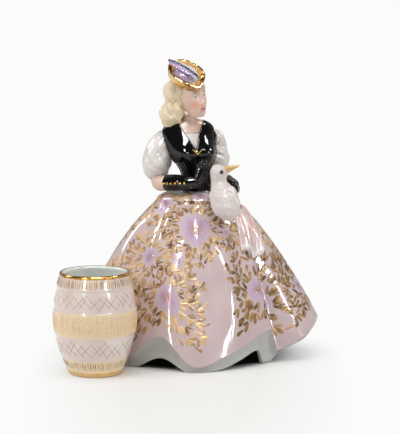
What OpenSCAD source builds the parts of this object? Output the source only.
// Ceramic lady figurine: a porcelain lady in a wide folded skirt, with a goose
// on one arm and an open barrel-shaped basket standing against the skirt.
// Millimetres, +Z up, front of the figure towards -Y, standing plane at z = 0.

/* [Skirt] */
// Height of the waist seat above the standing plane
waist_h = 116; // [104:1:128]
// Radius of the flat waist seat
waist_r = 13.5; // [13:0.5:15]
// Half width of the hem from side to side
hem_half_w = 88; // [80:1:96]
// Half depth of the hem from front to back
hem_half_d = 69; // [63:1:75]
// Fullness of the skirt over the hips
hip_swell = 4; // [2:0.5:5]
// Depth of the folds, as a share of the modelled depth
fold_depth = 1; // [0.7:0.05:1.2]
// Thickness of the skirt wall
skirt_wall = 3.8; // [3:0.2:5]
// Thickness of the white lip at the hem, measured level
hem_lip = 3.2; // [2.4:0.2:4]

/* [Torso] */
// Turn of the body towards its left
body_turn = 17; // [10:1:24]
// Sideways sway of the body, as a share of the modelled sway
body_sway = 1; // [0.8:0.05:1.1]
// Fullness of the torso, as a share of the modelled girth
torso_girth = 1; // [0.95:0.01:1.05]
// Thickness of the vest on the torso
vest_t = 1.3; // [1:0.1:1.8]
// Height of the bolero's lower edge above the waist
bolero_low = 21; // [20.5:0.1:23]
// Height of the neckline's point above the waist
neckline_h = 30; // [29:0.25:32]
// Step from the bolero down to the corset
bolero_step = 0.6; // [0.3:0.1:0.8]
// Radius of the tenon that goes into the waist of the skirt
tenon_r = 8; // [6:0.5:9]
// Length of the tenon
tenon_len = 5; // [3:0.5:6]
// Clearance of tenons and plugs in their bores
bore_gap = 0.25; // [0.15:0.05:0.4]
// Half width of the neck where it meets the chemise
neck_r = 9; // [8:0.25:9.5]
// Radius of the neck plug in the torso
plug_r = 3.5; // [2.5:0.25:4]
// Length of the neck plug
plug_len = 6; // [4:0.5:9]

/* [Head and hat] */
// Turn of the head towards its left
head_turn = 40; // [20:1:50]
// Lean of the head towards its right
head_lean = 10; // [0:1:14]
// Size of the head, as a share of the modelled head
head_size = 1; // [0.96:0.01:1.04]
// Thickness of the hair on the head
hair_t = 2.6; // [2:0.2:3]
// Half width of the hat brim at its top edge
brim_half_w = 13.8; // [12.8:0.2:14.8]
// Half length of the hat brim at its top edge
brim_half_l = 13.4; // [12.8:0.2:14.2]
// Height of the turned-up brim
brim_h = 7; // [6:0.5:8]
// Thickness of the brim
brim_t = 1.4; // [1.2:0.1:1.8]

/* [Goose and kerchief] */
// Girth of the goose, as a share of the modelled girth
goose_girth = 1; // [0.9:0.02:1.06]
// Thickness of the kerchief
kerchief_t = 1.6; // [1.2:0.1:2.4]

/* [Basket] */
// Height of the basket with its rim
basket_h = 69; // [60:1:76]
// Radius of the foot
basket_foot_r = 17.4; // [15:0.2:20]
// Radius of the belly
basket_belly_r = 28.2; // [25:0.2:30]
// Outer radius at the mouth
basket_mouth_r = 22.6; // [20:0.2:25]
// Thickness of the basket wall
basket_wall_t = 2.4; // [2:0.1:3.2]
// Thickness of the basket floor
basket_floor_t = 3; // [2.4:0.2:4]
// Height of the rounded rim
rim_h = 3; // [2.4:0.2:4]
// Width of the ring that the basket stands on
foot_ring = 4; // [3:0.5:6]
// Depth of the hollow under the foot
foot_hollow = 0.8; // [0.4:0.1:1.4]
// Direction of the basket from the middle of the skirt
basket_dir = 224.5; // [222:0.5:228]
// Narrowest gap between basket and skirt, filled by the lute
lute_gap = 0.8; // [0.6:0.1:1.6]

/* [Fits] */
// Gap between pieces laid on one another
lay_gap = 0.2; // [0.1:0.05:0.3]

/* [Hidden] */
$fn = 48;
skirt_sides = 90;
deep_fold = [313, 331];
waist_x = 3.2;
lip_flat = 1.6;
fall = 1.58;
black = [0.05, 0.05, 0.06];
white = [0.95, 0.95, 0.96];
gilt = [0.80, 0.58, 0.18];
flesh = [0.96, 0.80, 0.72];
blonde = [0.90, 0.84, 0.66];
lilac = [0.86, 0.72, 0.84];
cream = [0.93, 0.88, 0.86];

// Hem of the skirt: direction, depth of the fold there, height of the coloured
// edge, height of the lip below it. A lip below zero gives a flat to stand on.
hem = [
    [3, 1, 27, 23], [22, -10, 19, 7], [45, 2, 5, -1.5], [66, -8, 16, 6],
    [90, 1, 5, -1.5], [113, -8, 16, 6], [137, 2, 5, -1.5], [160, -8, 17, 7],
    [182, 1, 12, 5], [203, -7, 16, 6], [226, -9, 7, -1.5], [249, -8, 23, 7.6],
    [272, 0, 3.6, -1.5], [288, -3.2, 9.2, 1], [302, -8.8, 15.2, 5.6], [317, -13.4, 21, 10],
    [322, -14, 23.4, -2], [325.5, -14, 24, -2], [328.5, -12.4, 8.4, 4.4], [340, 0, 18.5, 15.5]];

// Lesser folds on the skirt: direction, height, half width, and where they start
// and end on the way from waist to hem
ridges = [
    [236, 1.8, 8, 0.1, 0.75], [254, 2.2, 7, 0.42, 1.1], [263, -1.2, 6, 0.4, 1],
    [272, 1.6, 8, 0.08, 0.62], [286, -2.4, 9, 0.36, 1.05], [300, 2.6, 8, 0.4, 1.1],
    [312, -1.6, 6, 0.4, 1], [330, 1.6, 8, 0.2, 0.8], [352, -1.6, 8, 0.4, 1],
    [30, 1.8, 8, 0.1, 0.8], [56, -1.6, 8, 0.4, 1], [78, 1.8, 8, 0.2, 0.9],
    [101, 1.8, 8, 0.1, 0.8], [124, -1.6, 8, 0.4, 1], [148, 1.8, 8, 0.1, 0.9],
    [172, -1.6, 8, 0.4, 1], [196, 1.8, 8, 0.1, 0.8], [216, -1.4, 8, 0.2, 0.8]];

// Moves a node so that the whole stands centred on its footprint
module stand() {
    translate(centring)
        children();
}

// Small helpers
function mix(a, b, f) = a + (b - a) * f;
function unit(v) = v / norm(v);
function bell(x, w) = exp(-pow(x / w, 2));
function wrap(a) = a - 360 * floor(a / 360);
function turn(p, a) = [p[0] * cos(a) - p[1] * sin(a), p[0] * sin(a) + p[1] * cos(a)];

// Smooth curve through stations, with a number of steps between each two
function spline(s, i, f) = let (
        n = len(s) - 1,
        p0 = s[max(i - 1, 0)],
        p1 = s[i],
        p2 = s[i + 1],
        p3 = s[min(i + 2, n)])
    0.5 * (2 * p1 + (p2 - p0) * f + (2 * p0 - 5 * p1 + 4 * p2 - p3) * f * f
        + (3 * p1 - p0 - 3 * p2 + p3) * f * f * f);
function curve(s, steps) = [
    for (i = [0 : len(s) - 2]) for (k = [0 : steps - 1]) spline(s, i, k / steps),
    s[len(s) - 1]];

// Value from the hem list at an angle, on a smooth curve that never overshoots
function hem_dir(i) = let (n = len(hem)) hem[(i + n) % n][0] + 360 * floor(i / n);
function hem_val(i, col) = let (n = len(hem)) hem[(i + n) % n][col];
function hem_rise(i, col) = (hem_val(i + 1, col) - hem_val(i, col)) / (hem_dir(i + 1) - hem_dir(i));
function hem_slope(i, col) = let (p = hem_rise(i - 1, col), q = hem_rise(i, col))
    p * q > 0 ? 2 * p * q / (p + q) : 0;
function hem_at(a, col, i = 0) = let (b = wrap(a - hem[0][0]) + hem[0][0])
    b > hem_dir(i + 1) && i + 1 < len(hem) ? hem_at(a, col, i + 1) : let (
        w = hem_dir(i + 1) - hem_dir(i),
        f = (b - hem_dir(i)) / w,
        g = 1 - f)
    hem_val(i, col) * g * g * (1 + 2 * f) + hem_val(i + 1, col) * f * f * (3 - 2 * f)
        + w * f * g * (hem_slope(i, col) * g - hem_slope(i + 1, col) * f);

// Closed solid through rings that run upwards, each ring anticlockwise. A strip
// is a thin bent ring, whose ends are closed straight across its thickness.
module loft(rings, strip = false) {
    n = len(rings[0]);
    m = len(rings);
    e = (m - 1) * n;
    polyhedron(
        points = [for (r = rings) for (p = r) p],
        faces = concat(
            strip ? [] : [[for (k = [0 : n - 1]) k], [for (k = [n - 1 : -1 : 0]) e + k]],
            strip ? [for (k = [0 : n / 2 - 2]) [k, k + 1, n - 2 - k]] : [],
            strip ? [for (k = [0 : n / 2 - 2]) [k, n - 2 - k, n - 1 - k]] : [],
            strip ? [for (k = [0 : n / 2 - 2]) [e + n - 2 - k, e + k + 1, e + k]] : [],
            strip ? [for (k = [0 : n / 2 - 2]) [e + n - 1 - k, e + n - 2 - k, e + k]] : [],
            [for (i = [0 : m - 2]) for (k = [0 : n - 1])
                [i * n + k, (i + 1) * n + k, (i + 1) * n + (k + 1) % n]],
            [for (i = [0 : m - 2]) for (k = [0 : n - 1])
                [i * n + k, (i + 1) * n + (k + 1) % n, i * n + (k + 1) % n]]));
}

// Closed ring-shaped solid: the last ring joins the first again
module ring_loft(rings) {
    n = len(rings[0]);
    m = len(rings);
    polyhedron(
        points = [for (r = rings) for (p = r) p],
        faces = concat(
            [for (i = [0 : m - 1]) for (k = [0 : n - 1]) let (j = (i + 1) % m)
                [i * n + k, j * n + k, j * n + (k + 1) % n]],
            [for (i = [0 : m - 1]) for (k = [0 : n - 1]) let (j = (i + 1) % m)
                [i * n + k, j * n + (k + 1) % n, i * n + (k + 1) % n]]));
}

// Rounded limb along stations [x, y, z, radius across, radius deep]
function limb_rings(s, ref, sides, lump = 0, lumps = 7, last = 0) = [
    for (i = [0 : len(s) - 1]) let (
            a = s[max(i - 1, 0)],
            b = s[min(i + 1, len(s) - 1)],
            w = unit([b[0] - a[0], b[1] - a[1], b[2] - a[2]]),
            u = unit(cross(ref, w)),
            v = cross(w, u),
            c = [s[i][0], s[i][1], s[i][2]],
            f = last > 0 ? min(i / last, 1) : i / (len(s) - 1),
            g = lump * pow(sin(180 * f), 2))
        [for (k = [0 : sides - 1]) let (t = 360 * k / sides, h = 1 + g * cos(lumps * t + 70 * f))
            c + s[i][3] * h * cos(t) * u + s[i][4] * h * sin(t) * v]];
function level_rings(s, sides) = [for (p = s) [for (k = [0 : sides - 1]) let (t = 360 * k / sides)
    [p[0] + p[3] * cos(t), p[1] + p[4] * sin(t), p[2]]]];
function part_of(list, from, to) = [for (i = [from : to]) list[i]];

// Skirt surface
function hem_oval(a) = 1 / sqrt(pow(cos(a) / hem_half_w, 2) + pow(sin(a) / hem_half_d, 2));
function skirt_r(a, t) = waist_r + (hem_oval(a) - waist_r) * t
    + hip_swell * (bell(t - 0.11, 0.07) - bell(0.11, 0.07))
    + fold_depth * (hem_at(a, 1) * pow(max(t, 0), 1.6) + ridge_at(a, t));
function ridge_at(a, t, i = 0) = i == len(ridges) ? 0 : let (
        q = ridges[i],
        f = (t - q[3]) / (q[4] - q[3]),
        d = wrap(a - q[0] + 180) - 180)
    (f > 0 && f < 1 ? q[1] * bell(d, q[2]) * pow(sin(180 * f), 2) : 0) + ridge_at(a, t, i + 1);
function skirt_z(a, t) = waist_h - (waist_h - hem_at(a, 2)) * pow(max(t, 0), fall);
function sway(t) = waist_x * pow(1 - min(t, 1), 3);
function skirt_point(a, t, off = 0) = let (
        dr = skirt_r(a, t + 0.01) - skirt_r(a, t - 0.01),
        dz = skirt_z(a, t + 0.01) - skirt_z(a, t - 0.01),
        l = norm([dr, dz]),
        r = skirt_r(a, t) - off * dz / l,
        z = skirt_z(a, t) + off * dr / l)
    [sway(t) + r * cos(a), r * sin(a), z];
function skirt_r_at_z(a, z) = skirt_r(a, pow((waist_h - z) / (waist_h - hem_at(a, 2)), 1 / fall));
// Directions of the skirt's sides, twice as close at the deep fold
function skirt_angles() = [for (k = [0 : skirt_sides - 1]) let (a = 360 * k / skirt_sides)
    each a > deep_fold[0] && a < deep_fold[1] ? [a, a + 180 / skirt_sides] : [a]];
function lip_point(a, in, f) = let (
        r = skirt_r(a, 1) - in,
        z = mix(hem_at(a, 2), max(0, hem_at(a, 3)), f))
    [r * cos(a), r * sin(a), z];

belly_z = 0.58 * basket_h;
lute_spread = 16;

// Basket profile: arc through foot, belly and mouth
function circle_z(a, b, c) = let (
        k1 = (a * a - b * b) / 2,
        k2 = (b * b - c * c) / 2,
        d1 = a - b,
        d2 = b - c,
        det = d1[0] * d2[1] - d1[1] * d2[0])
    [(k1 * d2[1] - k2 * d1[1]) / det, (d1[0] * k2 - d2[0] * k1) / det];
basket_c = circle_z([basket_foot_r, 0], [basket_belly_r, belly_z], [basket_mouth_r, basket_h]);
basket_R = norm([basket_belly_r, belly_z] - basket_c);
function basket_r(z) = basket_c[0] + sqrt(pow(basket_R, 2) - pow(z - basket_c[1], 2));
wall_top = basket_h - rim_h / 2;
band_edges = [0.065, 0.175, 0.405, 0.645, 0.86];

// Where the basket stands: as near the skirt as the lute gap allows
function clear_far(p, u) = let (
        along = p[0] * u[0] + p[1] * u[1],
        across = p[0] * u[1] - p[1] * u[0],
        reach = basket_r(min(p[2], wall_top)) + lute_gap)
    p[2] > wall_top || abs(across) > reach ? 0 : along + sqrt(reach * reach - across * across);
basket_far = max([for (a = [basket_dir - 20 : 4 : basket_dir + 20]) for (t = [0.5 : 0.05 : 1])
    clear_far(skirt_point(a, t), [cos(basket_dir), sin(basket_dir)])]);
// The shift that centres the whole on its footprint
basket_x = basket_far * cos(basket_dir);
basket_y = basket_far * sin(basket_dir);
edge = [for (a = skirt_angles()) skirt_point(a, 1)];
low_x = min(basket_x - basket_belly_r, min([for (p = edge) p[0]]));
high_x = max([for (p = edge) p[0]]);
low_y = min(basket_y - basket_belly_r, min([for (p = edge) p[1]]));
high_y = max([for (p = edge) p[1]]);
centring = [-(low_x + high_x) / 2, -(low_y + high_y) / 2, 0];

// Torso: height above the waist, half width, half depth, forward shift, sway
torso_rows = [
    [0, 12.2, 10.4, 0, 0], [3, 11.2, 9.6, 0, -0.2], [10, 11.2, 9.6, 0, -0.8],
    [15, 12, 10.2, 0.3, -1.8], [20, 14.6, 11.6, 0.8, -2.8], [24, 17, 12.6, 1.2, -3.6],
    [28, 18.2, 12.8, 1.4, -4.4], [33, 18.6, 12, 1, -5.4], [37, 18.8, 11, 0.6, -6],
    [41, 19, 9.8, 0, -6.4], [44.5, 18, 8.4, 0, -6.4], [47, 15.4, 7.2, 0.2, -6.2],
    [49, 11.4, 6, 0.4, -6], [50, 8, 5, 0.4, -6]];
neck_seat = 44;
torso_top = torso_rows[len(torso_rows) - 1][0];
torso_sides = 26;
function torso_ring(row, grow) = [
    for (k = [0 : torso_sides - 1]) let (
            t = 360 * k / torso_sides,
            bust = 2.8 * bell(row[0] - 27, 6) * (bell(t - 240, 17) + bell(t - 300, 17)),
            g = torso_girth,
            p = turn([(g * row[1] + grow + bust) * cos(t),
                (g * row[2] + grow + bust) * sin(t) - row[3]], body_turn))
        [torso_x(row[0]) + p[0], p[1], waist_h + row[0]]];
function torso_x(h) = waist_x + body_sway * lookup(h, [for (r = torso_rows) [r[0], r[4]]]);
module torso_form(grow, rows = torso_rows) {
    loft([for (row = rows) torso_ring(row, grow)]);
}
// The same form carried straight on below the waist, for cutting
torso_below = concat(
    [[-1, for (c = [1 : 4]) torso_rows[0][c] + (torso_rows[0][c] - torso_rows[1][c]) / torso_rows[1][0]]],
    [for (i = [1 : len(torso_rows) - 1]) torso_rows[i]]);
// The vest's outside: a bolero that stands proud of the corset below it
function torso_row(h) = [h, for (c = [1 : 4]) lookup(h, [for (r = torso_rows) [r[0], r[c]]])];
module vest_form() {
    loft(concat(
        [for (row = torso_rows) if (row[0] < bolero_low) torso_ring(row, -bolero_step)],
        [torso_ring(torso_row(bolero_low - 0.4), -bolero_step)],
        [torso_ring(torso_row(bolero_low), 0)],
        [for (row = torso_rows) if (row[0] > bolero_low) torso_ring(row, 0)]));
}
module on_torso(h) {
    translate([torso_x(h), 0, waist_h + h])
        rotate([0, 0, body_turn])
            children();
}

// Arms: one line of stations each, shared by sleeve, forearm and glove, so the
// end faces of neighbours lie in one plane
right_arm = curve([
    [-18.2, 1, 35.6, 6, 6.5], [-20.8, 0.6, 35, 7.2, 8], [-23, 0, 30.6, 8.8, 9.6],
    [-24.8, -0.6, 23.6, 10, 10.6], [-25.6, -1.4, 16.5, 10.2, 10.6], [-25, -2, 11.2, 7.6, 7.8],
    [-24.4, -2.8, 8.6, 5.4, 5.6], [-23.4, -5, 5.6, 5.4, 5.4], [-20, -9.2, 5.8, 5.3, 5.3],
    [-15.6, -12.6, 6.4, 5.5, 5.5], [-9, -15.6, 6.8, 5.2, 5], [-2, -17.4, 7, 4.2, 4],
    [2.6, -17.8, 8, 3.4, 3.2]], 2);
left_arm = curve([
    [13.4, 5.4, 35.6, 6, 6.5], [15.4, 6.6, 35, 6.7, 7.2], [16.2, 8.2, 30.4, 7.7, 8.2],
    [16.8, 8.8, 24, 8.6, 9], [17.2, 8, 17.4, 8.6, 8.8], [18.2, 6.2, 12.8, 6.4, 6.6],
    [19.2, 4, 10.6, 4.8, 5], [21.2, 0.6, 8.4, 4.8, 4.8], [24, -4.4, 6.6, 4.4, 4.4],
    [26.2, -9, 5.4, 4.2, 4.2], [27.6, -12.6, 5, 4, 4], [28.4, -15.6, 4.8, 3.4, 3.4]], 2);
sleeve_end = 12;
right_cuff = 17;
left_cuff = 16;
function lift(s) = [for (p = s) [p[0], p[1], p[2] + waist_h, p[3], p[4]]];
function swell(s, g) = [for (p = s) [p[0], p[1], p[2], p[3] + g, p[4] + g]];
depth = [0, 1, 0];

module finger(s) {
    loft(limb_rings(lift(curve(s, 2)), depth, 8));
}

// Goose: one line of stations from the tail to the top of the head
goose_line = curve([
    [25.2, -35.6, -17.2, 1.2, 1.2], [24.8, -34.4, -14.8, 5, 5], [23.8, -32.6, -10.6, 7.8, 7.6],
    [22, -30.6, -4.6, 8.8, 8.4], [20, -28.8, 1.4, 8.4, 8], [18.4, -27.6, 6.4, 6.2, 6.2],
    [17.8, -27.2, 9.6, 5.4, 5.4], [17.7, -27.2, 12.4, 5.7, 5.7], [18, -27.3, 15.4, 6.1, 5.9],
    [18.6, -27.4, 18.4, 5, 4.8], [19, -27.5, 20, 2.6, 2.4], [19.1, -27.5, 20.5, 1, 0.9]], 2);
goose_neck = 12;
function girth(s) = [for (p = s) [p[0], p[1], p[2], p[3] * goose_girth, p[4] * goose_girth]];
beak_dir = unit([9, -1.2, 3]);
beak_seat = [18.2, -27.4, waist_h + 15.6] + 5.2 * goose_girth * beak_dir;

// Head and hat frames
neck_x = torso_x(neck_seat);
head_at = [neck_x + 1.6, -3.2, waist_h + neck_seat + 20.6];
hat_at = head_at + [-4.8, -1.2, 13.5 * head_size];
hat_tilt = 44;
curl_lift = 5;
module in_head() {
    translate(head_at)
        rotate([0, -head_lean, 0])
            rotate([0, 0, head_turn])
                children();
}
module in_hat() {
    translate(hat_at)
        rotate([0, -head_lean, 0])
            rotate([0, 0, head_turn])
                rotate([hat_tilt, 0, 0])
                    children();
}
module above_hat_seat(gap) {
    in_hat()
        translate([-50, -50, -gap])
            cube([100, 100, 70]);
}

// Head: height, half width, half depth, forward shift
head_rows = [
    [-13.6, 2.6, 2.6, 6.6], [-12.6, 4.4, 4.6, 5.2], [-10, 6.2, 7.6, 3.4], [-6.5, 7.9, 9.6, 1.8],
    [-2.5, 9.2, 11, 0.8], [2, 10, 11.8, 0.2], [6.5, 10.2, 12, 0], [10.5, 9.2, 10.8, 0],
    [13.5, 6.6, 7.8, 0], [15.2, 2.4, 2.8, 0]];
head_sides = 26;
function head_ring(row, grow) = [
    for (k = [0 : head_sides - 1]) let (
            t = 360 * k / head_sides,
            nose = grow > 0 ? 0 : 1.5 * bell(t - 270, 9) * bell(row[0] + 3.4, 2.6),
            g = head_size)
        [(g * row[1] + grow) * cos(t),
            (g * row[2] + grow + nose) * sin(t) - g * row[3],
            g * row[0] + (row[0] < -13 ? -grow : row[0] > 15 ? grow : 0)]];
module head_form(grow, steps = 2) {
    in_head()
        loft([for (row = curve(head_rows, steps)) head_ring(row, grow)]);
}

// Neck: it widens to the seat on the chemise
module neck_form(grow) {
    rows = [[neck_x, 0, 0, neck_r, 7.4], [neck_x + 0.1, -0.2, 2.4, neck_r - 1.2, 6.6],
        [neck_x + 0.4, -0.6, 5, 5.6, 5.4], [neck_x + 0.8, -1, 9, 5, 5], [neck_x + 1.2, -1.4, 14, 5, 5]];
    translate([0, 0, waist_h + neck_seat])
        loft(level_rings(swell(curve(rows, 2), grow), 20));
}

module basket_place() {
    translate([basket_x, basket_y, 0])
        children();
}
module basket_form(extra) {
    rotate_extrude()
        polygon(concat([[0, 0]],
            [for (k = [0 : 20]) let (z = wall_top * k / 20) [basket_r(z) + extra, z]],
            [[0, wall_top]]));
}

// Wedge of the solid skirt between two directions, to fit pieces that lie on it
module skirt_wedge(from, to, grow) {
    n = 10;
    tops = [0, 0.08, 0.16, 0.24, 0.32, 0.42, 0.54, 0.66, 0.78, 0.87, 0.94, 1];
    angles = [for (k = [0 : n]) mix(from, to, k / n)];
    loft([for (i = [len(tops) - 1 : -1 : 0]) let (t = tops[i])
        concat([[sway(t), 0, skirt_z((from + to) / 2, t)]],
            [for (a = angles) skirt_point(a, t, grow)])]);
}

// The hollow skirt with its folds, wavy hem, white lip and waist bore
module skirt_shell() {
    outer = [1, 0.94, 0.87, 0.78, 0.68, 0.57, 0.46, 0.36, 0.27, 0.19, 0.12, 0.06, 0];
    inner = [0.11, 0.2, 0.32, 0.45, 0.58, 0.71, 0.83, 0.92];
    angles = skirt_angles();
    stand() color(lilac)
        difference() {
            loft(concat(
                [for (t = inner) [for (a = angles) skirt_point(a, t, -skirt_wall)]],
                [[for (a = angles) lip_point(a, hem_lip + lip_flat, 1)]],
                [[for (a = angles) lip_point(a, hem_lip, 1)]],
                [[for (a = angles) lip_point(a, hem_lip * 0.3, 0.5)]],
                [for (t = outer) [for (a = angles) skirt_point(a, t)]]));
            translate([waist_x, 0, waist_h - 16])
                cylinder(h = 30, r = tenon_r + bore_gap);
        }
}

// White chemise with the waist tenon and the bore for the neck plug
module torso_core() {
    stand() color(white)
        difference() {
            union() {
                torso_form(-vest_t);
                translate([waist_x, 0, waist_h - tenon_len])
                    cylinder(h = tenon_len + 2, r = tenon_r);
            }
            translate([neck_x, 0, waist_h + neck_seat - plug_len - 0.5])
                cylinder(h = plug_len + 2, r = plug_r + bore_gap);
            translate([neck_x, 0, waist_h + neck_seat])
                cylinder(h = 20, r = neck_r + bore_gap);
            armhole_planes();
        }
}
module armhole_planes(back = 0) {
    beyond(right_arm[0], right_arm[1], back);
    beyond(left_arm[0], left_arm[1], back);
}

// All the space past the first ring of an arm
module beyond(p, q, back) {
    w = unit([q[0] - p[0], q[1] - p[1], q[2] - p[2]]);
    translate([p[0], p[1], waist_h + p[2]])
        rotate([0, acos(w[2]), atan2(w[1], w[0])])
            translate([-12, -14, -back])
                cube([24, 28, 20]);
}

// Black vest over the chemise, open in a V in front and at both sides
module bodice_vest() {
    stand() color(black)
        difference() {
            vest_form();
            torso_form(lay_gap / 4 - vest_t, torso_below);
            on_torso(neckline_h)
                rotate([90, 0, 0])
                    linear_extrude(30)
                        polygon([[0, 0], [11.5, 53 - neckline_h], [-11.5, 53 - neckline_h]]);
            on_torso(15)
                rotate([0, 90, 0])
                    cylinder(h = 60, r = 6.5, center = true);
            translate([neck_x, 0, waist_h + neck_seat - 2])
                cylinder(h = 20, r = neck_r + bore_gap);
            armhole_planes();
        }
}

// Gilt clasp in a V at the lower end of the neckline
module bodice_clasp() {
    stand() color(gilt)
        on_torso(neckline_h - 1.6)
            translate([0, -14.6 * torso_girth - lay_gap, 0])
                rotate([90, 0, 0])
                    linear_extrude(1)
                        polygon([[0, -2.2], [3.8, 1.3], [3.3, 1.9], [0, -1.15], [-3.3, 1.9], [-3.8, 1.3]]);
}

// Head with neck and plug, cut flat where the hat sits
module head() {
    stand() color(flesh)
        difference() {
            union() {
                head_form(0);
                neck_form(0);
                translate([neck_x, 0, waist_h + neck_seat - plug_len])
                    cylinder(h = plug_len + 3, r = plug_r);
            }
            above_hat_seat(0);
        }
}

// Hair round the back and sides of the head
module hair_cap() {
    stand() color(blonde)
        difference() {
            head_form(hair_t, 1);
            head_form(lay_gap);
            neck_form(lay_gap);
            in_head()
                translate([-30, -40, -22])
                    cube([60, 36, 50]);
            in_head()
                translate([-30, -30, -32])
                    cube([60, 60, 22]);
            above_hat_seat(0);
        }
}

// Side roll and the curls that fall on the right shoulder
module curl(s, r) {
    translate([0, 0, waist_h + neck_seat + curl_lift])
        loft(limb_rings(curve([for (p = s) [p[0], p[1], p[2], p[3] * r, p[3] * r]], 2), depth, 10));
}
module hair_curls() {
    stand() color(blonde)
        difference() {
            union() {
                curl([[-9.6, -10, 26, 2], [-13.2, -7.6, 24, 5], [-14.6, -6, 19, 6.2],
                    [-13.4, -5.4, 13.8, 5], [-12.6, -5, 10, 3]], 1);
                curl([[-12.6, -6, 13.4, 2.4], [-15.6, -6, 9, 6], [-16.4, -5.4, 3.4, 6.8],
                    [-15.4, -5, -2, 5], [-14.6, -5, -4.8, 1.6]], 1);
                curl([[-9.8, -9, 13, 2], [-11, -9, 8, 4], [-11.4, -8.4, 2.6, 4.2],
                    [-11, -8, -1.6, 1.6]], 1);
                curl([[-10, 4, 18, 3], [-13, 3, 12, 6], [-14, 2.6, 4, 6.4], [-12.6, 2, -2, 2.4]], 1);
            }
            head_form(hair_t + lay_gap, 1);
            torso_form(lay_gap);
            above_hat_seat(0);
        }
}

// Hat: turned-up brim with a pointed front
function hat_oval(t, w, l, h) = let (tip = 1 + 0.16 * bell(t - 270, 26))
    [w * cos(t), l * tip * sin(t), h * (1 - 0.25 * bell(t - 270, 30))];
function hat_ring(w, l, h, sides) = [for (k = [0 : sides - 1]) hat_oval(360 * k / sides, w, l, h)];
module hat_brim() {
    w = brim_half_w;
    l = brim_half_l;
    t = brim_t;
    stand() color(gilt)
        in_hat()
            ring_loft([hat_ring(w - 4.4, l - 4.4, 0, 36), hat_ring(w - 2.6, l - 2.6, 0, 36),
                hat_ring(w - 1.2, l - 1.2, brim_h * 0.45, 36), hat_ring(w, l, brim_h, 36),
                hat_ring(w - t, l - t, brim_h, 36),
                hat_ring(w - t - 1.2, l - t - 1.2, brim_h * 0.5, 36),
                hat_ring(w - 4.4, l - 4.4, 1.6, 36)]);
}

// Hat crown: low dome standing inside the brim
module hat_crown() {
    w = brim_half_w - 4.4 - lay_gap;
    l = brim_half_l - 4.4 - lay_gap;
    stand() color(white)
        in_hat()
            loft([hat_ring(w, l, 0, 28), hat_ring(w, l, 3, 28), hat_ring(w * 0.94, l * 0.94, 5.6, 28),
                hat_ring(w * 0.78, l * 0.78, 7.6, 28), hat_ring(w * 0.45, l * 0.45, 8.8, 28),
                hat_ring(w * 0.1, l * 0.1, 9, 28)]);
}

// Feather that lies over the crown, with its quill on top
feather_line = curve([[2.6, -11.2, 7.8, 1, 0.5], [0.8, -7.4, 9.3, 3.2, 0.6], [-1.6, -2, 9.9, 4.2, 0.7],
    [-4.2, 3.6, 9.8, 4.4, 0.7], [-6.6, 8.4, 9.2, 3.6, 0.6], [-8.6, 12, 8.6, 1, 0.4]], 3);
module hat_feather() {
    stand() color([0.88, 0.82, 0.92])
        in_hat()
            loft(limb_rings(feather_line, [0, 0, 1], 10));
}
module hat_quill() {
    stand() color([0.08, 0.14, 0.12])
        in_hat()
            loft(limb_rings([for (p = feather_line)
                [p[0], p[1], p[2] + p[4] + 0.5 + lay_gap, 0.5, 0.4]], [0, 0, 1], 6));
}

// Puffed sleeves with soft gathers
module right_sleeve() {
    stand() color(white)
        difference() {
            loft(part_of(limb_rings(lift(right_arm), depth, 24, 0.05, 7, sleeve_end), 0, sleeve_end));
            torso_sleeve_cut();
        }
}
module left_sleeve() {
    stand() color(white)
        difference() {
            loft(part_of(limb_rings(lift(left_arm), depth, 24, 0.05, 7, sleeve_end), 0, sleeve_end));
            torso_sleeve_cut();
        }
}

module torso_sleeve_cut() {
    difference() {
        torso_form(lay_gap);
        armhole_planes(lay_gap / 2);
    }
}

// Bare forearms
module right_forearm() {
    stand() color(flesh)
        loft(part_of(limb_rings(lift(right_arm), depth, 16), sleeve_end, right_cuff));
}
module left_forearm() {
    stand() color(flesh)
        loft(part_of(limb_rings(lift(left_arm), depth, 16), sleeve_end, left_cuff));
}

// Gloves: cuff and wrist from the arm line, then palm, fingers and thumb
module right_glove() {
    stand() color(black) {
        loft(part_of(limb_rings(lift(swell(right_arm, 0.5)), depth, 16), right_cuff, len(right_arm) - 1));
        finger([[1, -17.6, 7.6, 3, 2.6], [4, -17.4, 10, 3.6, 2.4], [5.6, -17.2, 14, 3.8, 2.2],
            [6.4, -17, 17, 3, 1.6]]);
        finger([[3.6, -17.2, 14, 1.2, 1.2], [3.2, -17, 18, 1.2, 1.2], [4.2, -17.2, 21, 0.7, 0.7]]);
        finger([[5.6, -17.4, 15, 1.3, 1.3], [5.8, -17.6, 20, 1.3, 1.3], [6.8, -17.4, 23.6, 0.7, 0.7]]);
        finger([[7.4, -17.2, 15, 1.3, 1.3], [8.2, -17.6, 19.4, 1.3, 1.3], [9.6, -17.4, 22.4, 0.7, 0.7]]);
        finger([[8.4, -16.8, 14, 1.2, 1.2], [10, -17, 17.4, 1.2, 1.2], [11.6, -16.8, 19.6, 0.7, 0.7]]);
    }
}
module left_glove() {
    stand() color(black) {
        loft(part_of(limb_rings(lift(swell(left_arm, 0.5)), depth, 16), left_cuff, len(left_arm) - 1));
        finger([[28.2, -14.6, 4.8, 3, 3.4], [29.6, -18, 4.2, 2.2, 3.8], [30.4, -22, 3.2, 1.6, 3.4],
            [30.4, -25, 2.4, 1, 2.2]]);
    }
}

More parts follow.
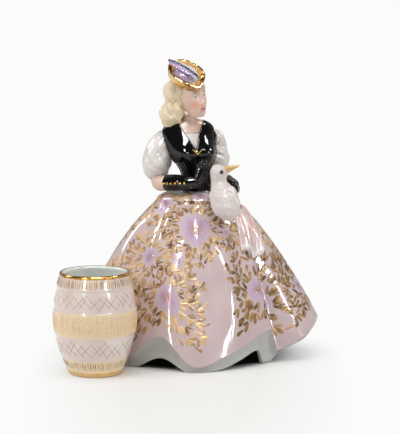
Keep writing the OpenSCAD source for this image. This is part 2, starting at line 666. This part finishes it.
// Six gilt buttons in a row on the right glove
module right_glove_buttons() {
    stand() color(gilt)
        for (k = [0 : 5]) {
            f = right_cuff + 0.4 + 0.75 * k;
            p = mix(right_arm[floor(f)], right_arm[floor(f) + 1], f - floor(f));
            q = right_arm[floor(f) + 1] - right_arm[floor(f)];
            n = unit([q[1], -q[0], 0]);
            translate([p[0], p[1], waist_h + p[2]] + (p[4] + 0.5 + lay_gap) * n)
                rotate([90, 0, atan2(n[1], n[0]) + 90])
                    difference() {
                        sphere(r = 0.9);
                        translate([-2, -2, -4])
                            cube([4, 4, 4]);
                    }
        }
}

// Goose: body seated on the skirt, head, beak, eyes and wings
module goose_body() {
    stand() color(white)
        difference() {
            loft(part_of(limb_rings(lift(girth(goose_line)), depth, 20), 0, goose_neck));
            skirt_wedge(262, 345, lay_gap);
        }
}
module goose_head() {
    stand() color(white)
        difference() {
            loft(part_of(limb_rings(lift(girth(goose_line)), depth, 20), goose_neck, len(goose_line) - 1));
            translate(beak_seat)
                rotate([0, atan2(norm([beak_dir[0], beak_dir[1]]), beak_dir[2]), 0])
                    translate([-8, -8, 0])
                        cube([16, 16, 16]);
        }
}
module goose_beak() {
    b = beak_seat;
    d = beak_dir;
    stand() color([0.90, 0.66, 0.18])
        loft(limb_rings([[b[0], b[1], b[2], 2.5, 2.2], [b[0] + 2 * d[0], b[1], b[2] + 2 * d[2], 2.3, 2],
            [b[0] + 6 * d[0], b[1], b[2] + 6 * d[2], 1.4, 1.5],
            [b[0] + 9.4 * d[0], b[1], b[2] + 9.4 * d[2], 0.5, 0.7]], depth, 14));
}
module goose_eyes() {
    stand() color(black)
        for (s = [-1, 1])
            translate([19.6, -27.4 + s * (5.6 * goose_girth + lay_gap), waist_h + 16])
                rotate([-90 * s, 0, 0])
                    difference() {
                        sphere(r = 1.3);
                        translate([-2, -2, -4])
                            cube([4, 4, 4]);
                    }
}
module goose_wing(from, to) {
    line = lift(girth(goose_line));
    n = 6;
    in_rings = limb_rings(swell(line, lay_gap), depth, 72);
    out_rings = limb_rings(swell(line, lay_gap + 1.1), depth, 72);
    loft([for (i = [3 : 9]) let (
            f = (i - 3) / 6,
            half = (to - from) / 2 * (0.25 + 0.75 * sin(30 + 120 * f)),
            m = (from + to) / 2)
        concat([for (k = [0 : n]) out_rings[i][round(m - half + 2 * half * k / n) % 72]],
            [for (k = [n : -1 : 0]) in_rings[i][round(m - half + 2 * half * k / n) % 72]])], true);
}
module goose_right_wing() {
    stand() color(white)
        goose_wing(30, 44);
}
module goose_left_wing() {
    stand() color(white)
        goose_wing(64, 78);
}

// Kerchief laid on the skirt below the goose
module kerchief() {
    n = 10;
    m = 9;
    stand() color([0.96, 0.90, 0.88])
        loft([for (i = [m : -1 : 0]) let (
                f = i / m,
                t = mix(0.27, 0.57, f),
                mid = mix(342, 328, f),
                half = mix(16, 9.6, f))
            concat(
                [for (k = [0 : n]) skirt_point(mid - half + 2 * half * k / n, t,
                    1.5 * lay_gap + kerchief_t * (0.8 + 0.2 * cos(360 * k / n * 2)))],
                [for (k = [n : -1 : 0]) skirt_point(mid - half + 2 * half * k / n, t, 1.5 * lay_gap)])], true);
}

// Barrel-shaped basket with its relief bands and a shallow foot
module basket_wall() {
    steps = 40;
    function band(z) = let (f = z / basket_h)
        f < band_edges[0] || (f > band_edges[2] && f < band_edges[3]) || f > band_edges[4] ? 0 : -0.5;
    stand() color(cream)
        basket_place()
            rotate_extrude()
                polygon(concat(
                    [[0, foot_hollow], [basket_foot_r - foot_ring, foot_hollow],
                        [basket_foot_r - foot_ring - foot_hollow, 0]],
                    [for (k = [0 : steps]) let (z = wall_top * k / steps) [basket_r(z) + band(z), z]],
                    [for (k = [16 : -1 : 0]) let (z = mix(basket_floor_t, wall_top, k / 16))
                        [basket_r(z) - basket_wall_t, z]],
                    [[0, basket_floor_t]]));
}
module basket_rim() {
    r = basket_r(wall_top) - basket_wall_t / 2;
    h = basket_wall_t / 2 + 0.5;
    stand() color(gilt)
        basket_place()
            rotate_extrude()
                polygon(concat([[r - h, wall_top], [r + h, wall_top]],
                    [for (k = [0 : 10]) [r + h * cos(18 * k), wall_top + rim_h / 2 * (0.25 + 0.75 * sin(18 * k))]]));
}

// Slip joint that fixes the basket to the skirt, low down where they are nearest
module basket_lute() {
    z = 0.3 * basket_h;
    stand() color(cream)
        difference() {
            translate([0, 0, z])
                rotate([0, 90, basket_dir])
                    translate([0, 0, basket_far - basket_r(z) - 5])
                        cylinder(h = 8, r = 6);
            basket_place()
                basket_form(0);
            skirt_wedge(basket_dir - lute_spread, basket_dir + lute_spread, 1.5 * lay_gap);
        }
}

skirt_shell();
torso_core();
bodice_vest();
bodice_clasp();
head();
hair_cap();
hair_curls();
hat_brim();
hat_crown();
hat_feather();
hat_quill();
right_sleeve();
left_sleeve();
right_forearm();
left_forearm();
right_glove();
left_glove();
right_glove_buttons();
goose_body();
goose_head();
goose_beak();
goose_eyes();
goose_right_wing();
goose_left_wing();
kerchief();
basket_wall();
basket_rim();
basket_lute();
